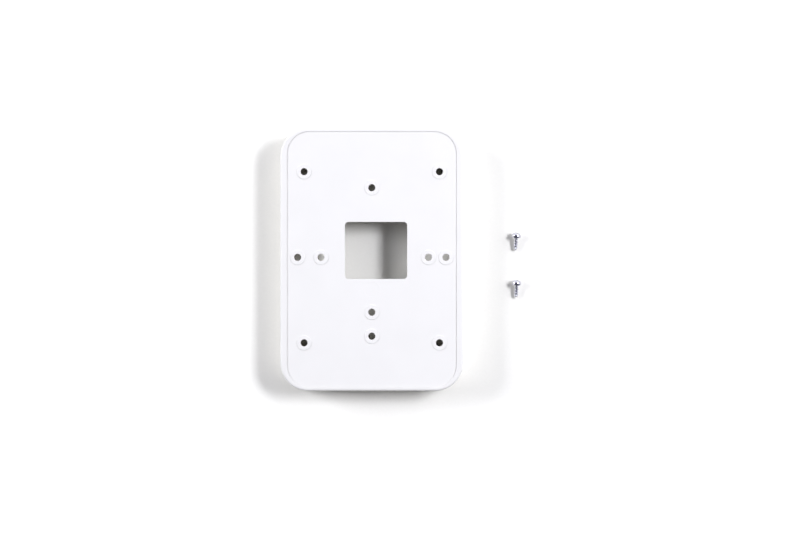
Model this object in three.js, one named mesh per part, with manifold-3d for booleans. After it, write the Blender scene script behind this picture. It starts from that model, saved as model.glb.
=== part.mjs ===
// Surface-mount back box for a video doorbell, with its two loose fixing screws beside it.
// A skirt (housing) stands off the wall, a mounting plate lies in a rebate in its front, and the wires
// come through the window in the plate. Millimetres. +X to the right and +Y up the wall as installed,
// +Z away from the wall. The origin is under the middle of the whole kit, on the wall plane.
import * as THREE from 'three';
import { mergeVertices } from 'three/addons/utils/BufferGeometryUtils.js';
import Module from 'manifold-3d';

const wasm = await Module();
wasm.setup();

// Clearance kept between any two pieces that touch, and how far a cutter runs past the face that it cuts.
const GAP = 0.3;
const PAST = 1;

// Housing: the outer skirt.
const BOX_WIDTH = 102.7;
const BOX_HEIGHT = 147.6;
const BOX_DEPTH = 19;
const BOX_CORNER = 15.7;
const FRONT_EDGE_FILLET = 1.1;
const WALL = 2.5;

// Recess in the front, which the plate fills up to a step below the rim.
const RECESS_WIDTH = 95.2;
const RECESS_HEIGHT = 143.6;
const RECESS_CORNER = 12.6;
const STEP = 0.4;
const LEDGE_WIDTH = 3;
const LEDGE_THICKNESS = 2.5;

// Flange inside the rear edge, with the groove of the wall gasket.
const REAR_FLANGE_WIDTH = 5.5;
const REAR_FLANGE_THICKNESS = 3;
const GROOVE_INSET = 1.8;
const GROOVE_WIDTH = 2.2;
const GROOVE_DEPTH = 1.9;

// Mounting plate.
const PLATE_THICKNESS = 2.8;
const PLATE_FRONT = BOX_DEPTH - STEP;
const PLATE_BACK = PLATE_FRONT - PLATE_THICKNESS;
const WINDOW_WIDTH = 35;
const WINDOW_HEIGHT = 32;
const WINDOW_CORNER = 2;
const WINDOW_CENTRE = [2.4, 5];

// Wall-screw holes, each in a low raised ring, from the middle of the box.
const HOLE_RADIUS = 2;
const RING_RADIUS = 4.15;
const RING_HEIGHT = 0.3;
const CORNER_HOLE_X = 38;
const CORNER_HOLE_TOP = 49.2;
const CORNER_HOLE_BOTTOM = -46.9;
const COLUMN_HOLES = [40.2, -29.7, -43.15];
const ROW_HOLES = [-41.67, -28.5, 31.8, 41.67];
const ROW_HEIGHT = 1.1;

// Corner fastening of the plate: a post behind the plate, a lug on the skirt and a screw from the back.
const POST_X = 38.2;
const POST_Y = 62;
const POST_RADIUS = 3.4;
const POST_BOTTOM = PLATE_BACK - 6;
const PILOT_RADIUS = 1.6;
const PILOT_DEPTH = 4.6;
const LUG_RADIUS = 5;
const LUG_TOP = POST_BOTTOM - GAP;
const LUG_BOTTOM = LUG_TOP - 2.5;
const LUG_HOLE_RADIUS = 1.7;

// Screws. The loose ones fix the doorbell's bracket to the plate.
const PLATE_SCREW = { headRadius: 2.4, headHeight: 1.9, crest: 1.3, root: 0.95, length: 6.6, pitch: 1.1 };
const FIXING_SCREW = { headRadius: 2.65, headHeight: 2.8, crest: 1.45, root: 1.05, length: 7.5, pitch: 1.55 };
const TIP_LENGTH = 1.2;
const TIP_RADIUS = 0.5;
const DOME_SHARE = 0.55;
const DOME_STEPS = 4;
const RECESS_SLOT = { length: 2.9, width: 0.75, depth: 1.2 };

// Where the loose screws lie: the middle of each head's underside, from the middle of the box.
const LOOSE_SCREWS = [
  { x: 82.0, y: 12.5, roll: 35 },
  { x: 82.3, y: -14.5, roll: 10 },
];
const LOOSE_TURN = -3;

// Fineness of the round shapes.
const CORNER_STEPS = 10;
const ROUND_STEPS = 20;
const SCREW_STEPS = 14;
const FILLET_STEPS = 3;

// The kit is as wide as the box and the loose screws together, and the origin is under its middle.
const KIT_RIGHT = LOOSE_SCREWS[1].x + FIXING_SCREW.headRadius;
const BOX_SHIFT = (BOX_WIDTH / 2 - KIT_RIGHT) / 2;

const FINISHES = {
  shell: { color: 0xf3f3f6, roughness: 0.42, metalness: 0 },
  plate: { color: 0xf1f1f5, roughness: 0.5, metalness: 0 },
  steel: { color: 0xc4c6d0, roughness: 0.22, metalness: 1 },
  seal: { color: 0x2a2b2d, roughness: 0.85, metalness: 0 },
};

/** A closed manifold solid from a closed three.js geometry. */
function solidOf(geometry) {
  const bare = geometry.clone();
  bare.deleteAttribute('normal');
  bare.deleteAttribute('uv');
  const merged = mergeVertices(bare, 1e-4);
  const corners = merged.index.array;
  const kept = [];
  for (let i = 0; i < corners.length; i += 3) {
    const [a, b, c] = corners.slice(i, i + 3);
    if (a !== b && b !== c && c !== a) {
      kept.push(a, b, c);
    }
  }
  return new wasm.Manifold(new wasm.Mesh({
    numProp: 3,
    vertProperties: Float32Array.from(merged.attributes.position.array),
    triVerts: Uint32Array.from(kept),
  }));
}

/** A three.js geometry from a manifold solid. */
function geometryOf(solid) {
  const mesh = solid.getMesh();
  const geometry = new THREE.BufferGeometry();
  geometry.setAttribute('position', new THREE.BufferAttribute(Float32Array.from(mesh.vertProperties), 3));
  geometry.setIndex(new THREE.BufferAttribute(Uint32Array.from(mesh.triVerts), 1));
  geometry.computeVertexNormals();
  return geometry;
}

/** A rectangle with round corners, around (x, y). */
function roundedRectangle(width, height, radius, [x, y] = [0, 0]) {
  const right = width / 2 - radius;
  const top = height / 2 - radius;
  const shape = new THREE.Shape();
  shape.absarc(x + right, y + top, radius, 0, Math.PI / 2);
  shape.absarc(x - right, y + top, radius, Math.PI / 2, Math.PI);
  shape.absarc(x - right, y - top, radius, Math.PI, 1.5 * Math.PI);
  shape.absarc(x + right, y - top, radius, 1.5 * Math.PI, 2 * Math.PI);
  shape.closePath();
  return shape;
}

/** The box's outline, drawn in by inset on every side. */
function boxOutline(inset) {
  return roundedRectangle(BOX_WIDTH - 2 * inset, BOX_HEIGHT - 2 * inset, BOX_CORNER - inset);
}

/** The recess's outline, drawn in by inset on every side. */
function recessOutline(inset) {
  return roundedRectangle(RECESS_WIDTH - 2 * inset, RECESS_HEIGHT - 2 * inset, RECESS_CORNER - inset);
}

/** A straight prism of a shape between two heights. */
function prism(shape, bottom, top) {
  const geometry = new THREE.ExtrudeGeometry(shape, {
    depth: top - bottom, bevelEnabled: false, curveSegments: CORNER_STEPS,
  });
  return solidOf(geometry.translate(0, 0, bottom));
}

/** An upright cylinder between two heights. */
function upright(radius, bottom, top, x, y) {
  const geometry = new THREE.CylinderGeometry(radius, radius, top - bottom, ROUND_STEPS);
  geometry.rotateX(Math.PI / 2);
  return solidOf(geometry.translate(x, y, (bottom + top) / 2));
}

/** The four corner fastenings, from the middle of the box. */
function fasteningPlaces() {
  return [[POST_X, POST_Y], [-POST_X, POST_Y], [-POST_X, -POST_Y], [POST_X, -POST_Y]];
}

/** Every wall-screw hole, from the middle of the box. */
function holePlaces() {
  const corners = [CORNER_HOLE_TOP, CORNER_HOLE_BOTTOM].flatMap(
    (y) => [[-CORNER_HOLE_X, y], [CORNER_HOLE_X, y]],
  );
  const column = COLUMN_HOLES.map((y) => [0, y]);
  const row = ROW_HOLES.map((x) => [x, ROW_HEIGHT]);
  return [...corners, ...column, ...row];
}

/** The outer block of the housing, with a rounded front edge. */
function housingBlock() {
  const geometry = new THREE.ExtrudeGeometry(boxOutline(0), {
    depth: BOX_DEPTH,
    bevelEnabled: true,
    bevelThickness: FRONT_EDGE_FILLET,
    bevelSize: FRONT_EDGE_FILLET,
    bevelOffset: -FRONT_EDGE_FILLET,
    bevelSegments: FILLET_STEPS,
    curveSegments: CORNER_STEPS,
  });
  geometry.translate(0, 0, -FRONT_EDGE_FILLET);
  return solidOf(geometry).intersect(prism(boxOutline(-PAST), 0, BOX_DEPTH + PAST));
}

/** One corner lug: a web from the skirt's corner to the screw, without its hole. */
function cornerLug(x, y) {
  const cornerX = Math.sign(x) * BOX_WIDTH / 2;
  const cornerY = Math.sign(y) * BOX_HEIGHT / 2;
  const web = new THREE.BoxGeometry(Math.abs(cornerX - x), Math.abs(cornerY - y), LUG_TOP - LUG_BOTTOM);
  web.translate((x + cornerX) / 2, (y + cornerY) / 2, (LUG_BOTTOM + LUG_TOP) / 2);
  return upright(LUG_RADIUS, LUG_BOTTOM, LUG_TOP, x, y)
    .add(solidOf(web))
    .intersect(prism(boxOutline(WALL / 2), LUG_BOTTOM, LUG_TOP));
}

/** The skirt: wall, front rim, ledge under the plate, corner lugs and grooved rear flange. */
function housing() {
  const ledgeTop = PLATE_BACK - GAP;
  const ledgeBottom = ledgeTop - LEDGE_THICKNESS;
  let body = housingBlock()
    .subtract(prism(recessOutline(0), ledgeTop, BOX_DEPTH + PAST))
    .subtract(prism(recessOutline(LEDGE_WIDTH), ledgeBottom - PAST, ledgeTop + PAST))
    .subtract(prism(boxOutline(WALL), REAR_FLANGE_THICKNESS, ledgeBottom))
    .subtract(prism(boxOutline(REAR_FLANGE_WIDTH), -PAST, REAR_FLANGE_THICKNESS + PAST));
  for (const [x, y] of fasteningPlaces()) {
    body = body
      .add(cornerLug(x, y))
      .subtract(upright(LUG_HOLE_RADIUS, LUG_BOTTOM - PAST, LUG_TOP + PAST, x, y));
  }
  return geometryOf(body.subtract(rearRing(GROOVE_INSET, GROOVE_WIDTH, -PAST, GROOVE_DEPTH)));
}

/** A ring that follows the box's outline, inset from it, between two heights. */
function rearRing(inset, width, bottom, top) {
  return prism(boxOutline(inset), bottom, top)
    .subtract(prism(boxOutline(inset + width), bottom - PAST, top + PAST));
}

/** The mounting plate: window, ringed holes and the four posts behind. */
function mountingPlate() {
  const outline = recessOutline(GAP);
  outline.holes.push(roundedRectangle(WINDOW_WIDTH, WINDOW_HEIGHT, WINDOW_CORNER, WINDOW_CENTRE));
  let plate = prism(outline, PLATE_BACK, PLATE_FRONT);
  for (const [x, y] of fasteningPlaces()) {
    plate = plate
      .add(upright(POST_RADIUS, POST_BOTTOM, PLATE_BACK + PAST, x, y))
      .subtract(upright(PILOT_RADIUS, POST_BOTTOM - PAST, POST_BOTTOM + PILOT_DEPTH, x, y));
  }
  for (const [x, y] of holePlaces()) {
    plate = plate
      .add(upright(RING_RADIUS, PLATE_FRONT - PAST, PLATE_FRONT + RING_HEIGHT, x, y))
      .subtract(upright(HOLE_RADIUS, PLATE_BACK - PAST, BOX_DEPTH + PAST, x, y));
  }
  return geometryOf(plate);
}

/** The wall gasket: a rubber ring lying in the rear groove, flush with the rear edge. */
function wallGasket() {
  return geometryOf(rearRing(GROOVE_INSET + GAP, GROOVE_WIDTH - 2 * GAP, 0, GROOVE_DEPTH - GAP));
}

/**
 * A pan-head self-tapping screw along Y, head towards +Y, with the underside of its head at y = 0.
 * The thread is a row of sharp rings a pitch apart.
 */
function panHeadScrew({ headRadius, headHeight, crest, root, length, pitch }) {
  const profile = [new THREE.Vector2(0, -length), new THREE.Vector2(TIP_RADIUS, -length)];
  for (let y = -length + TIP_LENGTH; y < -pitch / 2; y += pitch) {
    profile.push(new THREE.Vector2(root, y - pitch / 4));
    profile.push(new THREE.Vector2(crest, y));
    profile.push(new THREE.Vector2(root, y + pitch / 4));
  }
  profile.push(new THREE.Vector2(root, 0), new THREE.Vector2(headRadius, 0));
  const sideHeight = headHeight * (1 - DOME_SHARE);
  for (let step = 0; step <= DOME_STEPS; step += 1) {
    const angle = (step / DOME_STEPS) * (Math.PI / 2);
    profile.push(new THREE.Vector2(
      step === DOME_STEPS ? 0 : headRadius * Math.cos(angle),
      sideHeight + headHeight * DOME_SHARE * Math.sin(angle),
    ));
  }
  let screw = solidOf(new THREE.LatheGeometry(profile, SCREW_STEPS));
  for (const turn of [0, Math.PI / 2]) {
    const slot = new THREE.BoxGeometry(RECESS_SLOT.length, 2 * RECESS_SLOT.depth, RECESS_SLOT.width);
    slot.rotateY(turn);
    screw = screw.subtract(solidOf(slot.translate(0, headHeight, 0)));
  }
  return geometryOf(screw);
}

/** A named mesh with its finish. */
function piece(name, geometry, finish) {
  const mesh = new THREE.Mesh(geometry, new THREE.MeshStandardMaterial(finish));
  mesh.name = name;
  return mesh;
}

/** The box: skirt, plate, gasket and the four screws that hold the plate from behind. */
function backBox() {
  const group = new THREE.Group();
  group.add(piece('housing', housing(), FINISHES.shell));
  group.add(piece('mounting_plate', mountingPlate(), FINISHES.plate));
  group.add(piece('wall_gasket', wallGasket(), FINISHES.seal));
  fasteningPlaces().forEach(([x, y], i) => {
    const screw = piece(`plate_screw_${i + 1}`, panHeadScrew(PLATE_SCREW), FINISHES.steel);
    screw.rotation.x = -Math.PI / 2;
    screw.position.set(x, y, LUG_BOTTOM - GAP);
    group.add(screw);
  });
  group.position.x = BOX_SHIFT;
  return group;
}

/** The two loose screws, each lying on the rim of its head and the crests near its tip. */
function looseScrews() {
  const group = new THREE.Group();
  const { headRadius, crest, length } = FIXING_SCREW;
  const tilt = Math.atan((headRadius - crest) / (length - TIP_LENGTH));
  LOOSE_SCREWS.forEach(({ x, y, roll }, i) => {
    const screw = piece(`fixing_screw_${i + 1}`, panHeadScrew(FIXING_SCREW), FINISHES.steel);
    screw.rotation.set(tilt, THREE.MathUtils.degToRad(roll), THREE.MathUtils.degToRad(LOOSE_TURN), 'ZXY');
    screw.position.set(x, y, headRadius * Math.cos(tilt));
    group.add(screw);
  });
  group.position.x = BOX_SHIFT;
  return group;
}

const kit = new THREE.Group();
kit.add(backBox(), looseScrews());

export default kit;
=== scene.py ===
"""Looks of a video doorbell's surface-mount back box and its two loose fixing screws.

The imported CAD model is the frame. Each CAD node is replaced by a finer mesh of the same piece, built with
bmesh operators in metres, in the same place, and dressed in a procedural material.
"""

from __future__ import annotations

import logging
import math
from dataclasses import dataclass, field
from enum import Enum
from typing import Iterable, Sequence

import bmesh
import bpy
from mathutils import Matrix, Vector


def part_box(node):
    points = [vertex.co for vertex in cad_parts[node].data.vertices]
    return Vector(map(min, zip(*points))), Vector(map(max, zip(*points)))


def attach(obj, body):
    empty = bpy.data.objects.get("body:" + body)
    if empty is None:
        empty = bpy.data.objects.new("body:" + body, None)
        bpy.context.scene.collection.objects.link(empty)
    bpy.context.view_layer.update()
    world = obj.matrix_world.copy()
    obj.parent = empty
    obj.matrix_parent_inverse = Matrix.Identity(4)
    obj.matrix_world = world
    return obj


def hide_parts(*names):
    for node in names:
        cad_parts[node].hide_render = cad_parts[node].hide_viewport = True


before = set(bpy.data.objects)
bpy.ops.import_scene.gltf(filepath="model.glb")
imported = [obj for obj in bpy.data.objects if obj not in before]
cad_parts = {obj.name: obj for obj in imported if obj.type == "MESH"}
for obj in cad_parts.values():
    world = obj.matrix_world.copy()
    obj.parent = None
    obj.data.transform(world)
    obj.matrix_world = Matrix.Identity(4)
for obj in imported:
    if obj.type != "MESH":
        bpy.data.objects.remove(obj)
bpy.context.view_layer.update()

LOG = logging.getLogger("back_box")
MM = 0.001
BOX_BODY = "box"

# An edge is hard where the surface turns by this much or more.
HARD_EDGE = math.radians(34)
# Loops are at one height when they are nearer than this.
SAME_LEVEL = 0.001 * MM
# A face is level when its normal has at least this much Z, up or down.
LEVEL_NORMAL = 0.9999

Bmesh = bmesh.types.BMesh
Piece = bpy.types.Object
Material = bpy.types.Material
Tree = bpy.types.NodeTree
Socket = bpy.types.NodeSocket
Loop = list[bmesh.types.BMEdge]
Colour = tuple[float, float, float]
Point2 = tuple[float, float]


# ---------------------------------------------------------------------------------------------------------
# Mesh tools
# ---------------------------------------------------------------------------------------------------------


class Joining(Enum):
    """How a tool shape acts on a piece."""

    WELD = "UNION"
    CUT = "DIFFERENCE"


@dataclass(frozen=True)
class RoundedRectangle:
    """A rectangle with round corners, in a plane of constant height.

    Attributes:
        width: Size along X.
        height: Size along Y.
        radius: Corner radius.
        centre: Middle point.
        corner_steps: Straight steps in each corner.
    """

    width: float
    height: float
    radius: float
    centre: Point2
    corner_steps: int = 24

    def loop(self, bm: Bmesh, inset: float, z: float) -> Loop:
        """Draws the outline as a closed loop of edges.

        Args:
            bm: The mesh that gets the loop.
            inset: How far the loop lies inside the outline.
            z: Its height.

        Returns:
            The loop's edges.
        """
        known = set(bm.edges)
        size = Matrix.Diagonal((self.width - 2 * inset, self.height - 2 * inset, 1, 1))
        place = Matrix.Translation((*self.centre, z)) @ size
        made = bmesh.ops.create_grid(bm, x_segments=1, y_segments=1, size=0.5, matrix=place)
        bmesh.ops.bevel(
            bm,
            geom=made["verts"],
            offset=self.radius - inset,
            offset_type="OFFSET",
            segments=self.corner_steps,
            profile=0.5,
            affect="VERTICES",
            material=-1,
            clamp_overlap=False,
        )
        loop = [edge for edge in bm.edges if edge not in known]
        bmesh.ops.delete(bm, geom=list({f for e in loop for f in e.link_faces}), context="FACES_ONLY")
        return loop


def circle_loop(bm: Bmesh, radius: float, centre: Point2, z: float, steps: int) -> Loop:
    """Draws a circle as a closed loop of edges.

    Args:
        bm: The mesh that gets the loop.
        radius: The circle's radius.
        centre: Its middle.
        z: Its height.
        steps: Straight steps round it.

    Returns:
        The loop's edges.
    """
    place = Matrix.Translation((*centre, z))
    made = bmesh.ops.create_circle(bm, cap_ends=False, segments=steps, radius=radius, matrix=place)
    return list({edge for vert in made["verts"] for edge in vert.link_edges})


def loft(bm: Bmesh, loops: Sequence[Loop], closed: bool = False) -> None:
    """Skins a row of loops with faces, flat ones between loops at one height.

    Args:
        bm: The mesh that holds the loops.
        loops: Loops with the same number of edges, in order.
        closed: Whether the last loop is joined to the first.
    """
    pairs = list(zip(loops, loops[1:]))
    if closed:
        pairs.append((loops[-1], loops[0]))
    for one, other in pairs:
        rise = other[0].verts[0].co.z - one[0].verts[0].co.z
        if abs(rise) < SAME_LEVEL:
            fill_flat(bm, [one, other])
        else:
            bmesh.ops.bridge_loops(bm, edges=[*one, *other])


def fill_flat(bm: Bmesh, loops: Sequence[Loop]) -> None:
    """Fills the flat area between an outer loop and the loops of its holes.

    Args:
        bm: The mesh that holds the loops.
        loops: The outer loop and the holes' loops.
    """
    edges = [edge for loop in loops for edge in loop]
    bmesh.ops.triangle_fill(bm, use_beauty=True, use_dissolve=False, edges=edges, normal=(0, 0, 1))


def quarter_round(radius: float, steps: int = 3) -> list[Point2]:
    """Works out a quarter circle that rounds an edge.

    Args:
        radius: The rounding's radius.
        steps: Straight steps along it.

    Returns:
        How far in from the side and how far below the face each point lies, from the face to the side.
    """
    angles = [step / steps * math.pi / 2 for step in range(steps + 1)]
    return [(radius * (1 - math.sin(a)), radius * (1 - math.cos(a))) for a in angles]


def close_seams(bm: Bmesh, distance: float = 0.002 * MM) -> None:
    """Merges doubled points, drops loose ones and turns the faces outwards.

    Args:
        bm: The mesh to close.
        distance: Points nearer than this become one.
    """
    bmesh.ops.remove_doubles(bm, verts=bm.verts, dist=distance)
    bmesh.ops.dissolve_degenerate(bm, dist=distance / 4, edges=bm.edges)
    loose = [vert for vert in bm.verts if not vert.link_faces]
    bmesh.ops.delete(bm, geom=loose, context="VERTS")
    bmesh.ops.recalc_face_normals(bm, faces=bm.faces)


def harden_edges(bm: Bmesh) -> None:
    """Makes the edges hard where the surface turns sharply, and smooth elsewhere."""
    for edge in bm.edges:
        edge.smooth = len(edge.link_faces) == 2 and edge.calc_face_angle() < HARD_EDGE


def set_shading(bm: Bmesh, flat_area: float) -> None:
    """Shades broad faces flat and curved ones smooth, with hard edges where the surface turns sharply.

    Args:
        bm: The mesh to shade.
        flat_area: Faces larger than this are shaded flat.
    """
    for face in bm.faces:
        face.smooth = face.calc_area() < flat_area
    harden_edges(bm)


def new_piece(name: str, bm: Bmesh) -> Piece:
    """Turns a bmesh into an object in the scene, and frees it.

    Args:
        name: The piece's name.
        bm: Its mesh.

    Returns:
        The new object.
    """
    mesh = bpy.data.meshes.new(name)
    bm.to_mesh(mesh)
    bm.free()
    piece = bpy.data.objects.new(name, mesh)
    bpy.context.scene.collection.objects.link(piece)
    return piece


def combine(piece: Piece, tool: Piece, joining: Joining) -> None:
    """Welds a tool shape to a piece or cuts it out, and removes the tool.

    Args:
        piece: The piece that changes.
        tool: The shape that acts on it.
        joining: Weld or cut.
    """
    step = piece.modifiers.new("joining", "BOOLEAN")
    step.operation = joining.value
    step.solver = "EXACT"
    step.object = tool
    bpy.context.view_layer.update()
    result = piece.evaluated_get(bpy.context.evaluated_depsgraph_get())
    mesh = bpy.data.meshes.new_from_object(result)
    mesh.name = piece.name
    piece.modifiers.clear()
    old, piece.data = piece.data, mesh
    bpy.data.meshes.remove(old)
    bpy.data.objects.remove(tool)


def reshade(piece: Piece, flat_area: float) -> None:
    """Closes the seams of a finished piece and sets its shading.

    Args:
        piece: The piece.
        flat_area: Faces larger than this are shaded flat.
    """
    bm = bmesh.new()
    bm.from_mesh(piece.data)
    close_seams(bm)
    set_shading(bm, flat_area)
    bm.to_mesh(piece.data)
    bm.free()


# ---------------------------------------------------------------------------------------------------------
# Finishes
# ---------------------------------------------------------------------------------------------------------


class NodeDesk:
    """Adds and links the nodes of one tree."""

    def __init__(self, tree: Tree) -> None:
        """Clears the tree and keeps it."""
        self.tree = tree
        tree.nodes.clear()

    def add(self, kind: str, **settings: object) -> bpy.types.Node:
        """Adds a node.

        Args:
            kind: Its type, without the ShaderNode that all of them start with.
            settings: Properties to set on it.

        Returns:
            The node.
        """
        node = self.tree.nodes.new(kind if kind.startswith("Node") else "ShaderNode" + kind)
        for name, value in settings.items():
            setattr(node, name, value)
        return node

    def wire(self, source: Socket, *targets: Socket) -> None:
        """Links one output to inputs."""
        for target in targets:
            self.tree.links.new(source, target)

    def noise(self, vector: Socket, scale: float | Socket, detail: float) -> Socket:
        """Adds a noise pattern.

        Args:
            vector: Where it is read.
            scale: Its scale, per metre, or the socket that gives it.
            detail: How many finer layers it has.

        Returns:
            The pattern, from 0 to 1.
        """
        node = self.add("TexNoise", noise_dimensions="3D")
        node.inputs["Detail"].default_value = detail
        self.wire(vector, node.inputs["Vector"])
        if isinstance(scale, Socket):
            self.wire(scale, node.inputs["Scale"])
        else:
            node.inputs["Scale"].default_value = scale
        return node.outputs["Fac"]

    def remap(self, source: Socket, low: float, high: float, to_low: float, to_high: float) -> Socket:
        """Maps a range of a value onto another range, and clamps it.

        Args:
            source: The value.
            low: Start of its range.
            high: End of its range.
            to_low: What low becomes.
            to_high: What high becomes.

        Returns:
            The mapped value.
        """
        node = self.add("MapRange", clamp=True)
        self.wire(source, node.inputs["Value"])
        ends = {"From Min": low, "From Max": high, "To Min": to_low, "To Max": to_high}
        for name, value in ends.items():
            node.inputs[name].default_value = value
        return node.outputs["Result"]

    def mix(self, factor: Socket, one: Colour, other: Colour) -> Socket:
        """Mixes two colours.

        Args:
            factor: 0 for the first colour and 1 for the second.
            one: The first colour.
            other: The second colour.

        Returns:
            The mixed colour.
        """
        node = self.add("Mix", data_type="RGBA")
        self.wire(factor, node.inputs["Factor"])
        colours = [socket for socket in node.inputs if socket.type == "RGBA"]
        colours[0].default_value = (*one, 1)
        colours[1].default_value = (*other, 1)
        return next(socket for socket in node.outputs if socket.type == "RGBA")

    def times(self, one: Socket, other: Socket) -> Socket:
        """Multiplies two values.

        Args:
            one: The first value.
            other: The second value.

        Returns:
            Their product.
        """
        node = self.add("Math", operation="MULTIPLY")
        self.wire(one, node.inputs[0])
        self.wire(other, node.inputs[1])
        return node.outputs["Value"]


def node_group(name: str, values: dict[str, float], masks: Iterable[str]) -> tuple[NodeDesk, Tree]:
    """Starts a shader node group that reads a position.

    Args:
        name: The group's name.
        values: Its named inputs besides Vector, with their usual values.
        masks: Its named outputs.

    Returns:
        A desk for its nodes, and the group.
    """
    tree = bpy.data.node_groups.new(name, "ShaderNodeTree")
    desk = NodeDesk(tree)
    tree.interface.new_socket("Vector", in_out="INPUT", socket_type="NodeSocketVector")
    for label, value in values.items():
        socket = tree.interface.new_socket(label, in_out="INPUT", socket_type="NodeSocketFloat")
        socket.default_value = value
    for label in masks:
        tree.interface.new_socket(label, in_out="OUTPUT", socket_type="NodeSocketFloat")
    return desk, tree


class Effects:
    """The node groups that several finishes share, each built once."""

    _made: dict[str, Tree] = {}

    @classmethod
    def mould_grain(cls) -> Tree:
        """The spark-eroded grain of a mould, with the slow mottling of its polish and flow.

        Returns:
            The group, with the grain's height and the mottling as outputs.
        """
        if "mould_grain" not in cls._made:
            desk, tree = node_group("mould_grain", {"Grain": 2600, "Mottle": 60}, ("Height", "Cloud"))
            source = desk.add("NodeGroupInput")
            fine = desk.noise(source.outputs["Vector"], source.outputs["Grain"], 3)
            cells = desk.add("TexVoronoi", feature="SMOOTH_F1")
            desk.wire(source.outputs["Vector"], cells.inputs["Vector"])
            desk.wire(source.outputs["Grain"], cells.inputs["Scale"])
            sink = desk.add("NodeGroupOutput")
            desk.wire(desk.times(fine, cells.outputs["Distance"]), sink.inputs["Height"])
            cloud = desk.noise(source.outputs["Vector"], source.outputs["Mottle"], 2)
            desk.wire(cloud, sink.inputs["Cloud"])
            cls._made["mould_grain"] = tree
        return cls._made["mould_grain"]

    @classmethod
    def handling(cls) -> Tree:
        """Faint smears from handling, which only change the gloss.

        Returns:
            The group, with a mask of the smears as its output.
        """
        if "handling" not in cls._made:
            desk, tree = node_group("handling", {"Smears": 35}, ("Smear",))
            source = desk.add("NodeGroupInput")
            smear = desk.noise(source.outputs["Vector"], source.outputs["Smears"], 5)
            sink = desk.add("NodeGroupOutput")
            desk.wire(desk.remap(smear, 0.45, 0.7, 0, 1), sink.inputs["Smear"])
            cls._made["handling"] = tree
        return cls._made["handling"]


class Finish:
    """What every finish shares: a material with a Principled shader that reads Object coordinates."""

    def start(self, name: str, centre: Vector) -> tuple[Material, NodeDesk, bpy.types.Node, Socket]:
        """Starts a material.

        Args:
            name: The material's name.
            centre: The point that its pattern is centred on.

        Returns:
            The material, its desk, its shader and the position on the piece.
        """
        material = bpy.data.materials.new(name)
        material.use_nodes = True
        desk = NodeDesk(material.node_tree)
        shader = desk.add("BsdfPrincipled")
        output = desk.add("OutputMaterial")
        desk.wire(shader.outputs["BSDF"], output.inputs["Surface"])
        place = desk.add("TexCoord")
        mapping = desk.add("Mapping", vector_type="POINT")
        mapping.inputs["Location"].default_value = -centre
        desk.wire(place.outputs["Object"], mapping.inputs["Vector"])
        return material, desk, shader, mapping.outputs["Vector"]

    def relief(
        self, desk: NodeDesk, shader: bpy.types.Node, height: Socket, depth: float
    ) -> None:
        """Adds a bump to the shader.

        Args:
            desk: The material's desk.
            shader: Its shader.
            height: The pattern of the relief.
            depth: How deep it is, in metres.
        """
        bump = desk.add("Bump")
        bump.inputs["Distance"].default_value = depth
        bump.inputs["Strength"].default_value = 1
        desk.wire(height, bump.inputs["Height"])
        desk.wire(bump.outputs["Normal"], shader.inputs["Normal"])


@dataclass(frozen=True)
class MouldedPlastic(Finish):
    """White injection-moulded plastic with a fine grain.

    Attributes:
        name: The material's name.
        pale: Its colour where it is lightest.
        deep: Its colour where the mottling is darkest.
        gloss: Roughness where it is cleanest.
        haze: Roughness where it is smeared.
        grain: Grain cells per metre.
        depth: Depth of the grain, in metres.
    """

    name: str
    pale: Colour
    deep: Colour
    gloss: float
    haze: float
    grain: float
    depth: float

    def build(self, centre: Vector) -> Material:
        """Makes the material.

        Args:
            centre: The point that its pattern is centred on.

        Returns:
            The material.
        """
        material, desk, shader, place = self.start(self.name, centre)
        grain = desk.add("Group", node_tree=Effects.mould_grain())
        grain.inputs["Grain"].default_value = self.grain
        marks = desk.add("Group", node_tree=Effects.handling())
        desk.wire(place, grain.inputs["Vector"], marks.inputs["Vector"])
        cloud = desk.remap(grain.outputs["Cloud"], 0.3, 0.7, 0, 1)
        desk.wire(desk.mix(cloud, self.pale, self.deep), shader.inputs["Base Color"])
        smear = desk.remap(marks.outputs["Smear"], 0, 1, self.gloss, self.haze)
        desk.wire(smear, shader.inputs["Roughness"])
        self.relief(desk, shader, grain.outputs["Height"], self.depth)
        return material


@dataclass(frozen=True)
class PlatedSteel(Finish):
    """Bright plated steel with a thin violet-blue film.

    Attributes:
        name: The material's name.
        bright: Its colour where the film is thinnest.
        film: Its colour where the film is thickest.
        gloss: Roughness where it is cleanest.
        haze: Roughness where it is dull.
        grain: Scale of the film's patches, per metre.
        scratch_fineness: How many times finer the scratches are than the patches.
        scratch_depth: Depth of the scratches, in metres.
    """

    name: str
    bright: Colour
    film: Colour
    gloss: float
    haze: float
    grain: float
    scratch_fineness: float = 6
    scratch_depth: float = 0.004 * MM

    def build(self, centre: Vector) -> Material:
        """Makes the material.

        Args:
            centre: The point that its pattern is centred on.

        Returns:
            The material.
        """
        material, desk, shader, place = self.start(self.name, centre)
        shader.inputs["Metallic"].default_value = 1
        patches = desk.noise(place, self.grain, 4)
        scratches = desk.noise(place, self.grain * self.scratch_fineness, 2)
        colour = desk.mix(desk.remap(patches, 0.35, 0.65, 0, 1), self.bright, self.film)
        desk.wire(colour, shader.inputs["Base Color"])
        rough = desk.remap(scratches, 0.3, 0.7, self.gloss, self.haze)
        desk.wire(rough, shader.inputs["Roughness"])
        self.relief(desk, shader, scratches, self.scratch_depth)
        return material


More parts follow.
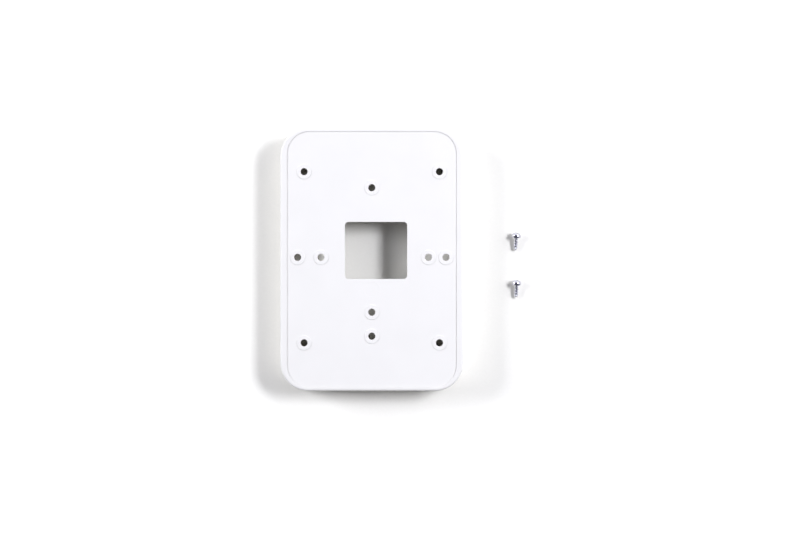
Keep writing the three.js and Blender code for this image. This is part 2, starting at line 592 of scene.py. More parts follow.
@dataclass(frozen=True)
class SealRubber(Finish):
    """Black rubber with a soft closed-cell skin.

    Attributes:
        name: The material's name.
        dark: Its base colour.
        bloom: Its colour where it has bloomed grey.
        grain: Grain cells per metre.
        depth: Depth of the grain, in metres.
    """

    name: str
    dark: Colour
    bloom: Colour
    grain: float
    depth: float

    def build(self, centre: Vector) -> Material:
        """Makes the material.

        Args:
            centre: The point that its pattern is centred on.

        Returns:
            The material.
        """
        material, desk, shader, place = self.start(self.name, centre)
        grain = desk.add("Group", node_tree=Effects.mould_grain())
        grain.inputs["Grain"].default_value = self.grain
        desk.wire(place, grain.inputs["Vector"])
        bloom = desk.remap(grain.outputs["Cloud"], 0.4, 0.7, 0, 1)
        desk.wire(desk.mix(bloom, self.dark, self.bloom), shader.inputs["Base Color"])
        desk.wire(desk.remap(grain.outputs["Cloud"], 0, 1, 0.62, 0.85), shader.inputs["Roughness"])
        self.relief(desk, shader, grain.outputs["Height"], self.depth)
        return material


@dataclass(frozen=True)
class StudioPaper(Finish):
    """Attributes:
        name: The material's name.
        pale: Its colour.
        fibre: Its colour in the hollows between the fibres.
        fineness: Scale of the fibres, per metre.
        roughness: Its roughness.
        sheen: Its specular level.
    """

    name: str
    pale: Colour
    fibre: Colour
    fineness: float
    roughness: float
    sheen: float

    def build(self, centre: Vector) -> Material:
        """Makes the material.

        Args:
            centre: The point that its pattern is centred on.

        Returns:
            The material.
        """
        material, desk, shader, place = self.start(self.name, centre)
        fibres = desk.noise(place, self.fineness, 6)
        colour = desk.mix(desk.remap(fibres, 0.3, 0.7, 0, 1), self.pale, self.fibre)
        desk.wire(colour, shader.inputs["Base Color"])
        shader.inputs["Roughness"].default_value = self.roughness
        shader.inputs["Specular IOR Level"].default_value = self.sheen
        return material


SHELL_PLASTIC = MouldedPlastic(
    name="satin_shell",
    pale=(0.755, 0.74, 0.70),
    deep=(0.74, 0.725, 0.685),
    gloss=0.46,
    haze=0.54,
    grain=3200,
    depth=0.012 * MM,
)
PLATE_PLASTIC = MouldedPlastic(
    name="matt_plate",
    pale=SHELL_PLASTIC.pale,
    deep=SHELL_PLASTIC.deep,
    gloss=0.52,
    haze=0.62,
    grain=2400,
    depth=0.02 * MM,
)
ZINC_STEEL = PlatedSteel(
    name="zinc_plated", bright=(0.7, 0.71, 0.74), film=(0.6, 0.61, 0.66), gloss=0.3, haze=0.42, grain=500
)
BRIGHT_STEEL = PlatedSteel(
    name="bright_plated", bright=(0.8, 0.81, 0.84), film=(0.64, 0.63, 0.71), gloss=0.14, haze=0.26, grain=450
)
BLACK_RUBBER = SealRubber(
    name="seal_rubber", dark=(0.018, 0.018, 0.02), bloom=(0.035, 0.035, 0.037), grain=1500, depth=0.05 * MM
)
PALE_PAPER = StudioPaper(
    name="studio_paper",
    pale=(0.92, 0.905, 0.83),
    fibre=(0.9, 0.885, 0.81),
    fineness=700,
    roughness=0.95,
    sheen=0.1,
)


def dress(piece: Piece, finish: Finish, body: str, nodes: Sequence[str]) -> None:
    """Gives a finished piece its material and its CAD body, and hides the CAD nodes that it stands for.

    Args:
        piece: The piece.
        finish: Its finish.
        body: The CAD body that it rides on.
        nodes: The CAD nodes that it replaces.
    """
    low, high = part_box(nodes[0])
    piece.data.materials.clear()
    piece.data.materials.append(finish.build((low + high) / 2))
    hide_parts(*nodes)
    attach(piece, body)
    LOG.info("%s: %d faces, rides on %s", piece.name, len(piece.data.polygons), body)


# ---------------------------------------------------------------------------------------------------------
# The box
# ---------------------------------------------------------------------------------------------------------


@dataclass
class BoxPlan:
    """The driving sizes of the box, read from the frame where it holds them.

    Attributes:
        corner: Radius of the box's corners.
        recess_corner: Radius of the recess's corners.
        cad_gap: Clearance that the CAD pieces keep.
        ring_height: Height of the low rings above the plate.
        post_length: Length of the posts behind the plate.
        plate_thickness: Thickness of the plate.
        centre: Middle of the box.
        depth: Height of the rim above the wall plane.
        outer: Outline of the skirt.
        recess: Outline of the recess that holds the plate.
        plate_front: Height of the plate's front face.
        plate_back: Height of its back face.
    """

    corner: float = 15.7 * MM
    recess_corner: float = 12.6 * MM
    cad_gap: float = 0.3 * MM
    ring_height: float = 0.3 * MM
    post_length: float = 6 * MM
    plate_thickness: float = 2.8 * MM
    centre: Point2 = field(init=False)
    depth: float = field(init=False)
    outer: RoundedRectangle = field(init=False)
    recess: RoundedRectangle = field(init=False)
    plate_front: float = field(init=False)
    plate_back: float = field(init=False)

    def __post_init__(self) -> None:
        """Reads the boxes of the housing and the plate."""
        low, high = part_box("housing")
        plate_low, plate_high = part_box("mounting_plate")
        self.centre = ((low.x + high.x) / 2, (low.y + high.y) / 2)
        self.depth = high.z
        self.outer = RoundedRectangle(high.x - low.x, high.y - low.y, self.corner, self.centre)
        self.recess = RoundedRectangle(
            plate_high.x - plate_low.x + 2 * self.cad_gap,
            plate_high.y - plate_low.y + 2 * self.cad_gap,
            self.recess_corner,
            self.centre,
        )
        self.plate_front = plate_high.z - self.ring_height
        self.plate_back = self.plate_front - self.plate_thickness

    def at(self, x: float, y: float) -> Point2:
        """A point given from the middle of the box."""
        return self.centre[0] + x, self.centre[1] + y

    def fastenings(self) -> list[Point2]:
        """The four corner fastenings, read from the screws' boxes."""
        boxes = [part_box(f"plate_screw_{i}") for i in range(1, 5)]
        return [((low.x + high.x) / 2, (low.y + high.y) / 2) for low, high in boxes]


@dataclass
class Housing:
    """The skirt: wall, front rim, ledge under the plate, corner lugs and grooved rear flange.

    Attributes:
        plan: The box's driving sizes.
        front_round: Radius of the rim's outer edge.
        rim_round: Radius of the rim's inner edge.
        foot_round: Radius of the rear edge.
        wall: Thickness of the wall.
        ledge_width: How far the ledge reaches under the plate.
        ledge_thickness: Its thickness.
        flange_width: Width of the rear flange, with the wall.
        flange_thickness: Its thickness.
        groove_inset: Where the groove starts, from the outside.
        groove_width: Width of the groove.
        groove_depth: Depth of the groove.
        lug_radius: Radius of a corner lug.
        lug_reach: How far its round end is moved towards the corner.
        lug_thickness: Its thickness.
        lug_hole: Radius of its screw hole.
        flat_area: Faces larger than this are shaded flat.
    """

    plan: BoxPlan
    front_round: float = 1.1 * MM
    rim_round: float = 0.09 * MM
    foot_round: float = 0.3 * MM
    wall: float = 2.5 * MM
    ledge_width: float = 3 * MM
    ledge_thickness: float = 2.5 * MM
    flange_width: float = 5.5 * MM
    flange_thickness: float = 3 * MM
    groove_inset: float = 1.8 * MM
    groove_width: float = 2.2 * MM
    groove_depth: float = 1.9 * MM
    lug_radius: float = 5 * MM
    lug_reach: float = 5.2 * MM
    lug_thickness: float = 2.5 * MM
    lug_hole: float = 1.7 * MM
    flat_area: float = 20 * MM * MM

    def section(self) -> list[tuple[RoundedRectangle, float, float]]:
        """Walks once round the wall's cross-section.

        Returns:
            For each point, the outline that it follows, its inset and its height.
        """
        plan = self.plan
        outer, recess = plan.outer, plan.recess
        ledge_top = plan.plate_back - plan.cad_gap
        ledge_bottom = ledge_top - self.ledge_thickness
        groove_end = self.groove_inset + self.groove_width
        front = quarter_round(self.front_round, steps=8)
        rim = quarter_round(self.rim_round)
        foot = quarter_round(self.foot_round)
        return [
            *((outer, across, down) for across, down in foot),
            *((outer, across, plan.depth - down) for across, down in reversed(front)),
            *((recess, -across, plan.depth - down) for across, down in rim),
            (recess, 0, ledge_top),
            (recess, self.ledge_width, ledge_top),
            (recess, self.ledge_width, ledge_bottom),
            (outer, self.wall, ledge_bottom),
            (outer, self.wall, self.flange_thickness),
            (outer, self.flange_width, self.flange_thickness),
            (outer, self.flange_width, 0),
            (outer, groove_end, 0),
            (outer, groove_end, self.groove_depth),
            (outer, self.groove_inset, self.groove_depth),
            (outer, self.groove_inset, 0),
        ]

    def ring(self) -> Piece:
        """Lofts the wall's cross-section round the box.

        Returns:
            The skirt without its lugs.
        """
        bm = bmesh.new()
        loft(bm, [outline.loop(bm, inset, z) for outline, inset, z in self.section()], closed=True)
        close_seams(bm)
        return new_piece("skirt", bm)

    def drum(
        self, bm: Bmesh, place: Point2, radius: float, height: float, steps: int
    ) -> list[bmesh.types.BMVert]:
        """Makes a closed drum centred in the thickness of the lugs.

        Args:
            bm: The mesh.
            place: The drum's axis.
            radius: Its radius.
            height: Its height.
            steps: Straight steps round it.

        Returns:
            Its points.
        """
        top = self.plan.plate_back - self.plan.post_length - self.plan.cad_gap
        made = bmesh.ops.create_cone(
            bm,
            cap_ends=True,
            segments=steps,
            radius1=radius,
            radius2=radius,
            depth=height,
            matrix=Matrix.Translation((*place, top - self.lug_thickness / 2)),
        )
        return made["verts"]

    def lugs(self) -> Piece:
        """Makes the four corner lugs, each a round end stretched towards the corner.

        Returns:
            The lugs, without their holes.
        """
        bm = bmesh.new()
        for place in self.plan.fastenings():
            outward = Vector((place[0] - self.plan.centre[0], place[1] - self.plan.centre[1]))
            quarter = Vector((math.copysign(1, outward.x), math.copysign(1, outward.y)))
            corner = Vector(self.plan.centre) + Vector(
                (
                    quarter.x * (self.plan.outer.width / 2 - self.plan.corner),
                    quarter.y * (self.plan.outer.height / 2 - self.plan.corner),
                )
            )
            direction = (Vector(place) - corner).normalized()
            verts = self.drum(bm, place, self.lug_radius, self.lug_thickness, steps=40)
            ahead = 0.01 * MM
            far = [v for v in verts if (v.co.xy - Vector(place)).dot(direction) > ahead]
            bmesh.ops.translate(bm, verts=far, vec=(direction * self.lug_reach).to_3d())
        close_seams(bm)
        return new_piece("lugs", bm)

    def lug_holes(self) -> Piece:
        """Makes the four plugs that cut the lugs' screw holes.

        Returns:
            The plugs.
        """
        bm = bmesh.new()
        for place in self.plan.fastenings():
            self.drum(bm, place, self.lug_hole, 2 * self.lug_thickness, steps=32)
        return new_piece("lug_holes", bm)

    def build(self) -> Piece:
        """Builds and dresses the skirt.

        Returns:
            The finished piece.
        """
        skirt = self.ring()
        combine(skirt, self.lugs(), Joining.WELD)
        combine(skirt, self.lug_holes(), Joining.CUT)
        reshade(skirt, self.flat_area)
        dress(skirt, SHELL_PLASTIC, BOX_BODY, ["housing"])
        return skirt


@dataclass
class MountingPlate:
    """The plate in the recess: cable window, ringed screw holes, and the posts behind.

    Attributes:
        plan: The box's driving sizes.
        seam: Clearance between the plate and the rim.
        edge_round: Radius of the plate's front edge.
        window: Size of the cable window.
        window_middle: Its middle, from the middle of the box.
        window_corner: Its corner radius.
        hole: Radius of a screw hole.
        hole_mouth: Rounding of its two mouths.
        ring: Outer radius of the low ring round a hole.
        ring_foot: Rounding where the ring meets the plate.
        ring_crown: Rounding of the ring's outer edge.
        corner_holes: X and the two Y of the corner holes.
        column_holes: Y of the holes in the middle column.
        row_holes: X of the holes in the middle row.
        row_height: Y of the middle row.
        gate_radius: Radius of the moulding gate's mark.
        gate_depth: Depth of that mark.
        gate_slope: How many times wider than deep the mark's edge is.
        gate_y: Its Y.
        post: Radius of a post.
        post_foot: Rounding where it meets the plate.
        post_crown: Rounding of its end.
        pilot: Radius of its pilot hole.
        pilot_mouth: Bevel of the pilot hole's mouth.
        pilot_depth: Depth of the pilot hole.
        steps: Straight steps round a circle.
    """

    plan: BoxPlan
    seam: float = 0.02 * MM
    edge_round: float = 0.1 * MM
    window: Point2 = (35 * MM, 32 * MM)
    window_middle: Point2 = (2.4 * MM, 5 * MM)
    window_corner: float = 2 * MM
    hole: float = 2 * MM
    hole_mouth: float = 0.22 * MM
    ring: float = 4.15 * MM
    ring_foot: float = 0.1 * MM
    ring_crown: float = 0.12 * MM
    corner_holes: tuple[float, float, float] = (38 * MM, 49.2 * MM, -46.9 * MM)
    column_holes: tuple[float, ...] = (40.2 * MM, -29.7 * MM, -43.15 * MM)
    row_holes: tuple[float, ...] = (-41.67 * MM, -28.5 * MM, 31.8 * MM, 41.67 * MM)
    row_height: float = 1.1 * MM
    gate_radius: float = 4.2 * MM
    gate_depth: float = 0.04 * MM
    gate_slope: float = 3
    gate_y: float = -16.9 * MM
    post: float = 3.4 * MM
    post_foot: float = 0.4 * MM
    post_crown: float = 0.25 * MM
    pilot: float = 1.6 * MM
    pilot_mouth: float = 0.2 * MM
    pilot_depth: float = 4.6 * MM
    steps: int = 48

    def holes(self) -> list[Point2]:
        """Places every screw hole.

        Returns:
            The holes' axes, in the frame.
        """
        side, top, bottom = self.corner_holes
        corners = [(x, y) for x in (-side, side) for y in (top, bottom)]
        column = [(0, y) for y in self.column_holes]
        row = [(x, self.row_height) for x in self.row_holes]
        return [self.plan.at(x, y) for x, y in (*corners, *column, *row)]

    def circles(self, bm: Bmesh, place: Point2, points: Sequence[Point2]) -> list[Loop]:
        """Draws a row of circles on one axis and lofts them.

        Args:
            bm: The mesh.
            place: The axis.
            points: Radius and height of each circle.

        Returns:
            The circles' loops.
        """
        loops = [circle_loop(bm, radius, place, z, self.steps) for radius, z in points]
        loft(bm, loops)
        return loops

    def ringed_hole(self, bm: Bmesh, place: Point2) -> tuple[Loop, Loop]:
        """Makes one hole with the low ring round its mouth.

        Args:
            bm: The mesh.
            place: The hole's axis.

        Returns:
            The loops where it meets the plate's front and back.
        """
        front, back = self.plan.plate_front, self.plan.plate_back
        top = front + self.plan.ring_height
        foot = quarter_round(self.ring_foot)
        crown = quarter_round(self.ring_crown, steps=4)
        mouth = quarter_round(self.hole_mouth, steps=4)
        points = [
            *((self.ring + across, front + down) for across, down in foot),
            *((self.ring - across, top - down) for across, down in reversed(crown)),
            *((self.hole + across, top - down) for across, down in mouth),
            (self.hole, back + self.hole_mouth),
            (self.hole + self.hole_mouth, back),
        ]
        loops = self.circles(bm, place, points)
        return loops[0], loops[-1]

    def gate_mark(self, bm: Bmesh) -> Loop:
        """Makes the shallow round mark of the moulding gate.

        Args:
            bm: The mesh.

        Returns:
            The loop where it meets the plate's front.
        """
        front = self.plan.plate_front
        points = [
            (self.gate_radius, front),
            (self.gate_radius - self.gate_slope * self.gate_depth, front - self.gate_depth),
        ]
        loops = self.circles(bm, self.plan.at(0, self.gate_y), points)
        fill_flat(bm, [loops[-1]])
        return loops[0]

    def mounting_post(self, bm: Bmesh, place: Point2) -> Loop:
        """Makes one post with its pilot hole.

        Args:
            bm: The mesh.
            place: The post's axis.

        Returns:
            The loop where it meets the plate's back.
        """
        back = self.plan.plate_back
        bottom = back - self.plan.post_length
        foot = quarter_round(self.post_foot)
        crown = quarter_round(self.post_crown)
        points = [
            *((self.post + across, back - down) for across, down in foot),
            *((self.post - across, bottom + down) for across, down in reversed(crown)),
            (self.pilot + self.pilot_mouth, bottom),
            (self.pilot, bottom + self.pilot_mouth),
            (self.pilot, bottom + self.pilot_depth),
        ]
        loops = self.circles(bm, place, points)
        fill_flat(bm, [loops[-1]])
        return loops[0]

    def build(self) -> Piece:
        """Builds and dresses the plate.

        Returns:
            The finished piece.
        """
        bm = bmesh.new()
        front, back = self.plan.plate_front, self.plan.plate_back
        window = RoundedRectangle(
            *self.window, self.window_corner, self.plan.at(*self.window_middle), corner_steps=10
        )
        edge = quarter_round(self.edge_round)
        sides = [self.plan.recess.loop(bm, self.seam + across, front - down) for across, down in edge]
        sides.append(self.plan.recess.loop(bm, self.seam, back))
        opening = [window.loop(bm, -across, front - down) for across, down in edge]
        opening.append(window.loop(bm, 0, back))
        loft(bm, sides)
        loft(bm, opening)
        mouths = [self.ringed_hole(bm, place) for place in self.holes()]
        posts = [self.mounting_post(bm, place) for place in self.plan.fastenings()]
        fill_flat(bm, [sides[0], opening[0], self.gate_mark(bm), *(mouth[0] for mouth in mouths)])
        fill_flat(bm, [sides[-1], opening[-1], *posts, *(mouth[1] for mouth in mouths)])
        close_seams(bm)
        for face in bm.faces:
            face.smooth = abs(face.normal.z) < LEVEL_NORMAL
        harden_edges(bm)
        plate = new_piece("face_plate", bm)
        dress(plate, PLATE_PLASTIC, BOX_BODY, ["mounting_plate"])
        return plate


@dataclass
class WallGasket:
    """The rubber ring in the rear groove.

    Attributes:
        plan: The box's driving sizes.
        inset: Where it starts, from the outside of the box.
        width: Its width.
        edge_round: Radius of its edges.
        flat_area: Faces larger than this are shaded flat.
    """

    plan: BoxPlan
    inset: float = 2 * MM
    width: float = 1.8 * MM
    edge_round: float = 0.5 * MM
    flat_area: float = 12 * MM * MM

    def build(self) -> Piece:
        """Builds and dresses the ring.

        Returns:
            The finished piece.
        """
        bm = bmesh.new()
        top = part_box("wall_gasket")[1].z
        far = self.inset + self.width
        edge = quarter_round(self.edge_round)
        places = [
            *((self.inset + across, down) for across, down in edge),
            *((self.inset + across, top - down) for across, down in reversed(edge)),
            *((far - across, top - down) for across, down in edge),
            *((far - across, down) for across, down in reversed(edge)),
        ]
        loops = [self.plan.outer.loop(bm, inset, z) for inset, z in places]
        loft(bm, loops, closed=True)
        close_seams(bm)
        set_shading(bm, self.flat_area)
        ring = new_piece("rubber_seal", bm)
        dress(ring, BLACK_RUBBER, BOX_BODY, ["wall_gasket"])
        return ring


# ---------------------------------------------------------------------------------------------------------
# Screws
# ---------------------------------------------------------------------------------------------------------


@dataclass(frozen=True)
class CrossRecess:
    """The cross-shaped driver recess of a screw head, as shares of the head's own sizes.

    Attributes:
        depth: How deep it goes, as a share of the head's height.
        over: How far the cutting blade stands above the head, as a share of its height.
        length: Length of a blade at its top, as a share of the head's radius.
        width: Width of a blade at its top, as a share of the head's radius.
        foot_length: Length at the bottom, as a share of the length at the top.
        foot_width: Width at the bottom, as a share of the width at the top.
    """

    depth: float = 0.62
    over: float = 0.2
    length: float = 1.15
    width: float = 0.27
    foot_length: float = 0.42
    foot_width: float = 0.6

    def blade(self, head_radius: float, head_height: float, turn: float) -> Piece:
        """Makes one tapered blade of the cross that cuts the recess.

        Args:
            head_radius: Radius of the screw's head.
            head_height: Height of the head, above y = 0.
            turn: How far the blade is turned on the screw's axis.

        Returns:
            The blade.
        """
        bm = bmesh.new()
        depth, over = self.depth * head_height, self.over * head_height
        length, width = self.length * head_radius, self.width * head_radius
        verts = bmesh.ops.create_cube(bm, size=1)["verts"]
        for vert in verts:
            low = vert.co.y < 0
            vert.co.x *= length * (self.foot_length if low else 1)
            vert.co.z *= width * (self.foot_width if low else 1)
            vert.co.y = head_height + (-depth if low else over)
        bmesh.ops.rotate(bm, cent=(0, 0, 0), matrix=Matrix.Rotation(turn, 3, "Y"), verts=verts)
        bmesh.ops.recalc_face_normals(bm, faces=bm.faces)
        return new_piece("blade", bm)


@dataclass(frozen=True)
class PanHeadScrew:
    """A pan-head self-tapping screw along Y, head towards +Y, with the underside of its head at y = 0.

    Attributes:
        head_radius: Radius of the head.
        head_height: Height of the head.
        crest: Radius of the thread's crest.
        root: Radius of the thread's root.
        length: Length under the head.
        pitch: Pitch of the thread.
        tip: Length of the tapered tip.
        nose: Bevel at the very end of the tip.
        blunt_share: Radius of the blunt end, as a share of the root.
        neck_share: Length of the fillet under the head, as a share of the pitch.
        neck_flare: Radius of that fillet at the head, as a share of the root.
        side_share: Height of the head's upright side, as a share of its height.
        edge_share: Rounding of the head's lower edge, as a share of its radius.
        dome_power: How square the dome's shoulder is, where 1 is an ellipse and less is squarer.
        foot_share: Half the width of the thread's foot, as a share of the pitch.
        crest_share: Half the width of its crest, as a share of the pitch.
        thread_start: Where the thread starts, as a share of the tip.
        thread_end: How far below the head it ends, as a share of the pitch.
        thread_fade: Length over which it thins out there, as a share of the pitch.
        first_height: Its height where it starts, as a share of its full height.
        sunk_share: How far its foot lies inside the root, as a share of the root.
        faded_share: Radius of its crest where it has thinned out, as a share of the root.
        steps: Straight steps round the screw.
        flat_area: Faces larger than this are shaded flat.
        recess: Its driver recess.
    """

    head_radius: float
    head_height: float
    crest: float
    root: float
    length: float
    pitch: float
    tip: float = 1.2 * MM
    nose: float = 0.1 * MM
    blunt_share: float = 0.42
    neck_share: float = 0.3
    neck_flare: float = 1.2
    side_share: float = 0.42
    edge_share: float = 0.08
    dome_power: float = 0.7
    foot_share: float = 0.3
    crest_share: float = 0.03
    thread_start: float = 0.35
    thread_end: float = 0.45
    thread_fade: float = 0.4
    first_height: float = 0.25
    sunk_share: float = 0.12
    faded_share: float = 0.9
    steps: int = 48
    flat_area: float = 0.8 * MM * MM
    recess: CrossRecess = CrossRecess()

    def outline(self) -> list[Point2]:
        """Draws half of the plain body, from the tip to the top of the head.

        Returns:
            Radius and height of each point.
        """
        blunt, nose = self.blunt_share * self.root, self.nose
        side = self.side_share * self.head_height
        dome = self.head_height - side
        lower = quarter_round(self.edge_share * self.head_radius)
        arc = [math.radians(angle) for angle in range(0, 91, 6)]
        taper = [(blunt + (self.root - blunt) * math.sin(t * math.pi / 2), t) for t in (0.25, 0.5, 0.75)]
        return [
            (0, -self.length),
            (blunt - nose, -self.length),
            (blunt, -self.length + nose),
            *((radius, -self.length + nose + (self.tip - nose) * t) for radius, t in taper),
            (self.root, -self.length + self.tip),
            (self.root, -self.neck_share * self.pitch),
            (self.root * self.neck_flare, 0),
            *((self.head_radius - across, down) for across, down in lower),
            *(
                (self.head_radius * math.cos(a) ** self.dome_power, side + dome * math.sin(a))
                for a in arc[:-1]
            ),
            (0, self.head_height),
        ]

    def body(self, name: str) -> Piece:
        """Turns the plain body on its axis.

        Args:
            name: The piece's name.

        Returns:
            The body.
        """
        bm = bmesh.new()
        verts = [bm.verts.new((radius, y, 0)) for radius, y in self.outline()]
        edges = [bm.edges.new(pair) for pair in zip(verts, verts[1:])]
        bmesh.ops.spin(
            bm,
            geom=[*verts, *edges],
            cent=(0, 0, 0),
            axis=(0, 1, 0),
            angle=2 * math.pi,
            steps=self.steps,
            use_merge=True,
        )
        close_seams(bm)
        return new_piece(name, bm)

    def thread(self) -> Piece:
        """Winds the thread's ridge round the shank, right-handed, thinning out at both ends.

        Returns:
            The ridge.
        """
        bm = bmesh.new()
        start, end = -self.length + self.thread_start * self.tip, -self.thread_end * self.pitch
        turns = (end - start) / self.pitch
        count = round(turns * self.steps)
        half_foot, half_crest = self.foot_share * self.pitch, self.crest_share * self.pitch
        foot = self.root - self.sunk_share * self.root
        ridge = [(foot, -half_foot), (self.crest, -half_crest), (self.crest, half_crest), (foot, half_foot)]
        verts = [bm.verts.new((radius, start + y, 0)) for radius, y in ridge]
        edges = [bm.edges.new((verts[i], verts[(i + 1) % 4])) for i in range(4)]
        bmesh.ops.spin(
            bm,
            geom=[*verts, *edges],
            cent=(0, 0, 0),
            axis=(0, 1, 0),
            dvec=(0, (end - start) / count, 0),
            angle=2 * math.pi * turns,
            steps=count,
            use_merge=False,
        )
        faded = self.root * self.faded_share
        for vert in bm.verts:
            radius = math.hypot(vert.co.x, vert.co.z)
            if radius > self.root:
                along = (vert.co.y - start) / self.tip
                from_tip = self.first_height + (1 - self.first_height) * along
                from_head = (end - vert.co.y) / (self.thread_fade * self.pitch)
                height = min(1.0, max(0.0, from_tip), max(0.0, from_head))
                wanted = faded + (self.crest - faded) * height
                vert.co.x *= wanted / radius
                vert.co.z *= wanted / radius
        bmesh.ops.holes_fill(bm, edges=[e for e in bm.edges if len(e.link_faces) == 1], sides=4)
        close_seams(bm)
        return new_piece("thread", bm)

    def build(self, name: str) -> Piece:
        """Builds the whole screw along Y.

        Args:
            name: The piece's name.

        Returns:
            The screw, not yet placed.
        """
        screw = self.body(name)
        combine(screw, self.thread(), Joining.WELD)
        for turn in (0, math.pi / 2):
            blade = self.recess.blade(self.head_radius, self.head_height, turn)
            combine(screw, blade, Joining.CUT)
        reshade(screw, self.flat_area)
        return screw


PLATE_SCREW = PanHeadScrew(
    head_radius=2.4 * MM,
    head_height=1.9 * MM,
    crest=1.3 * MM,
    root=0.95 * MM,
    length=6.6 * MM,
    pitch=1.1 * MM,
    steps=32,
)
FIXING_SCREW = PanHeadScrew(
    head_radius=2.65 * MM,
    head_height=2.8 * MM,
    crest=1.45 * MM,
    root=1.05 * MM,
    length=7.5 * MM,
    pitch=1.55 * MM,
    foot_share=0.4,
    crest_share=0.04,
)


@dataclass
class PlacedScrew:
    """One screw in its place.

    Attributes:
        pattern: The screw's sizes.
        node: The CAD node that it stands for.
        name: The piece's name.
        body: The CAD body that it rides on.
        finish: Its finish.
        slot: The record's material slot; not used.
        tilt: How far its head is raised, in radians.
        roll: How far it is turned on its own axis.
        turn: How far it is turned about Z.
    """

    pattern: PanHeadScrew
    node: str
    name: str
    body: str
    finish: PlatedSteel
    slot: str
    tilt: float
    roll: float = 0.0
    turn: float = 0.0

    def build(self) -> Piece:
        """Builds the screw and lays it where the CAD node lies.

        Returns:
            The finished piece.
        """
        screw = self.pattern.build(self.name)
        turned = (
            Matrix.Rotation(self.turn, 4, "Z")
            @ Matrix.Rotation(self.tilt, 4, "X")
            @ Matrix.Rotation(self.roll, 4, "Y")
        )
        screw.data.transform(turned)
        low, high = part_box(self.node)
        points = [vert.co for vert in screw.data.vertices]
        middle = [(min(p[i] for p in points) + max(p[i] for p in points)) / 2 for i in range(2)]
        lift = low.z - min(p.z for p in points)
        shift = Vector(((low.x + high.x) / 2 - middle[0], (low.y + high.y) / 2 - middle[1], lift))
        screw.data.transform(Matrix.Translation(shift))
        dress(screw, self.finish, self.body, [self.node])
        return screw


def all_screws() -> list[PlacedScrew]:
    """Lists the four screws behind the plate and the two loose ones.

    Returns:
        The screws, with their places.
    """
    behind = [
        PlacedScrew(
            PLATE_SCREW,
            f"plate_screw_{i}",
            f"rear_screw_{i}",
            BOX_BODY,
            ZINC_STEEL,
            "zinc_steel",
            tilt=-math.pi / 2,
            turn=math.radians(25 * i),
        )
        for i in range(1, 5)
    ]
    lying, skew, rolls = FIXING_SCREW, -3, (35, 10)
    tilt = math.atan((lying.head_radius - lying.crest) / (lying.length - lying.tip))
    loose = [
        PlacedScrew(
            lying,
            f"fixing_screw_{i}",
            f"loose_screw_{i}",
            f"loose_screw_{i}",
            BRIGHT_STEEL,
            "bright_steel",
            tilt,
            roll=math.radians(roll),
            turn=math.radians(skew),
        )
        for i, roll in enumerate(rolls, start=1)
    ]
    return [*behind, *loose]


# ---------------------------------------------------------------------------------------------------------
# Studio
# ---------------------------------------------------------------------------------------------------------


COOL_LIGHT = (0.97, 0.985, 1.08)


@dataclass(frozen=True)
class Softbox:
    """A rectangular studio light.

    Attributes:
        name: Its name.
        slope: Where it stands, as X and Y per unit of height.
        across: Its width, as a share of its distance.
        along: Its length, as a share of its distance.
        share: How brightly it lights a level white surface, where 1 is full white.
        distance: Its distance from the box.
        colour: Its colour.
    """

    name: str
    slope: Point2
    across: float
    along: float
    share: float
    distance: float = 1.5
    colour: Colour = COOL_LIGHT

    def place(self, target: Vector) -> Piece:
        """Sets the light up, facing the target.

        Args:
            target: The point that it faces.

        Returns:
            The light.
        """
        aim = Vector((*self.slope, 1))
        light = bpy.data.lights.new(self.name, "AREA")
        light.shape = "RECTANGLE"
        light.size = self.across * self.distance
        light.size_y = self.along * self.distance
        light.energy = self.share * aim.length * (math.pi * self.distance) ** 2
        light.color = self.colour
        lamp = bpy.data.objects.new(self.name, light)
        bpy.context.scene.collection.objects.link(lamp)
        lamp.location = target + aim.normalized() * self.distance
        lamp.rotation_euler = aim.to_track_quat("Z", "Y").to_euler()
        return lamp


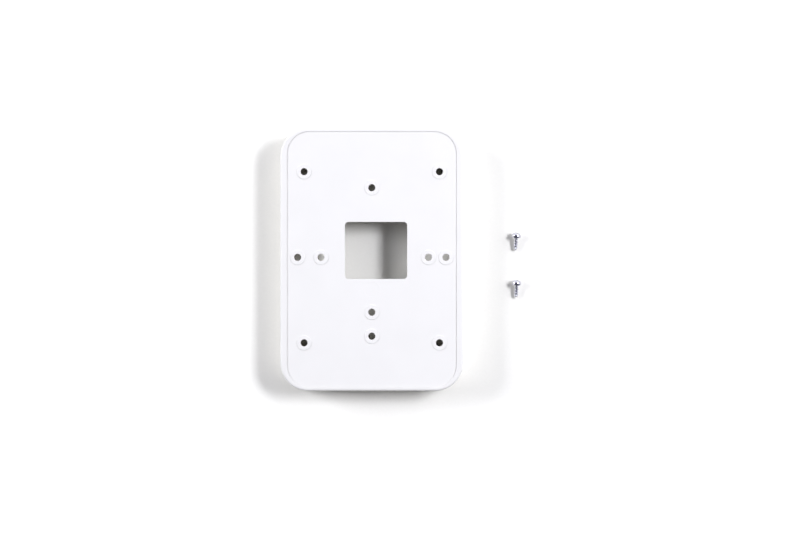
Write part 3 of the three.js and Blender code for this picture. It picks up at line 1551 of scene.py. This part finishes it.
@dataclass
class Studio:
    """The paper, the lights, the sky and the camera.

    Attributes:
        camera_height: Height of the camera above the plate.
        view_width: Width of the view on the plate.
        sensor: Width of the camera's sensor, in millimetres.
        lights: The main light, its wide soft edge, the lower light from the other side and a weak one
            from the far end.
        sky: Brightness of the room's even light.
        ceiling: Colour of the ceiling overhead.
        ceiling_band: Upward share of a direction where the ceiling starts, and where it is full.
        paper_size: Half the width of the paper, in metres.
    """

    camera_height: float = 1.0
    view_width: float = 448.96 * MM
    view_middle: Point2 = (-0.95 * MM, -4.0 * MM)
    sensor: float = 36
    lights: tuple[Softbox, ...] = (
        Softbox("key_softbox", slope=(0.84, 0.24), across=0.34, along=0.2, share=0.52),
        Softbox("key_surround", slope=(1.3, 0.5), across=0.95, along=0.7, share=0.26),
        Softbox("side_softbox", slope=(-1.7, 0.45), across=0.45, along=0.36, share=0.42),
        Softbox("back_softbox", slope=(0.0, 1.9), across=0.7, along=0.3, share=0.08),
    )
    sky: float = 0.3
    ceiling: Colour = (0.22, 0.22, 0.3)
    ceiling_band: tuple[float, float] = (0.35, 0.65)
    paper_size: float = 4
    paper_drop: float = 0.02 * MM

    def floor(self) -> None:
        bm = bmesh.new()
        under = Matrix.Translation((0, 0, -self.paper_drop))
        bmesh.ops.create_grid(bm, x_segments=1, y_segments=1, size=self.paper_size, matrix=under)
        bmesh.ops.recalc_face_normals(bm, faces=bm.faces)
        paper = new_piece("paper", bm)
        paper.data.materials.append(PALE_PAPER.build(Vector((0, 0, 0))))

    def room(self) -> None:
        """Makes the room's even light, with the dark ceiling overhead that polished metal reflects."""
        world = bpy.data.worlds.new("room")
        bpy.context.scene.world = world
        world.use_nodes = True
        desk = NodeDesk(world.node_tree)
        place = desk.add("TexCoord")
        parts = desk.add("SeparateXYZ")
        desk.wire(place.outputs["Generated"], parts.inputs["Vector"])
        overhead = desk.remap(parts.outputs["Z"], *self.ceiling_band, 0, 1)
        colour = desk.mix(overhead, COOL_LIGHT, self.ceiling)
        light = desk.add("Background")
        desk.wire(colour, light.inputs["Color"])
        light.inputs["Strength"].default_value = self.sky
        output = desk.add("OutputWorld")
        desk.wire(light.outputs["Background"], output.inputs["Surface"])

    def camera(self, plate_height: float) -> None:
        """Args:
            plate_height: Height of the plate's face.
        """
        data = bpy.data.cameras.new("camera")
        data.sensor_width = self.sensor
        data.lens = self.sensor * self.camera_height / self.view_width
        camera = bpy.data.objects.new("camera", data)
        camera.location = (*self.view_middle, plate_height + self.camera_height)
        bpy.context.scene.collection.objects.link(camera)
        bpy.context.scene.camera = camera

    def build(self, plan: BoxPlan) -> None:
        """Sets up the whole studio.

        Args:
            plan: The box's driving sizes.
        """
        self.camera(plan.plate_front)
        self.floor()
        self.room()
        target = Vector((*plan.centre, 0))
        for softbox in self.lights:
            softbox.place(target)
        bpy.context.scene.view_settings.view_transform = "Standard"


def main() -> None:
    """Builds the studio and every piece, in order."""
    logging.basicConfig(level=logging.INFO, format="%(name)s: %(message)s")
    plan = BoxPlan()
    Studio().build(plan)
    Housing(plan).build()
    MountingPlate(plan).build()
    WallGasket(plan).build()
    for screw in all_screws():
        screw.build()


if __name__ == "__main__":
    main()
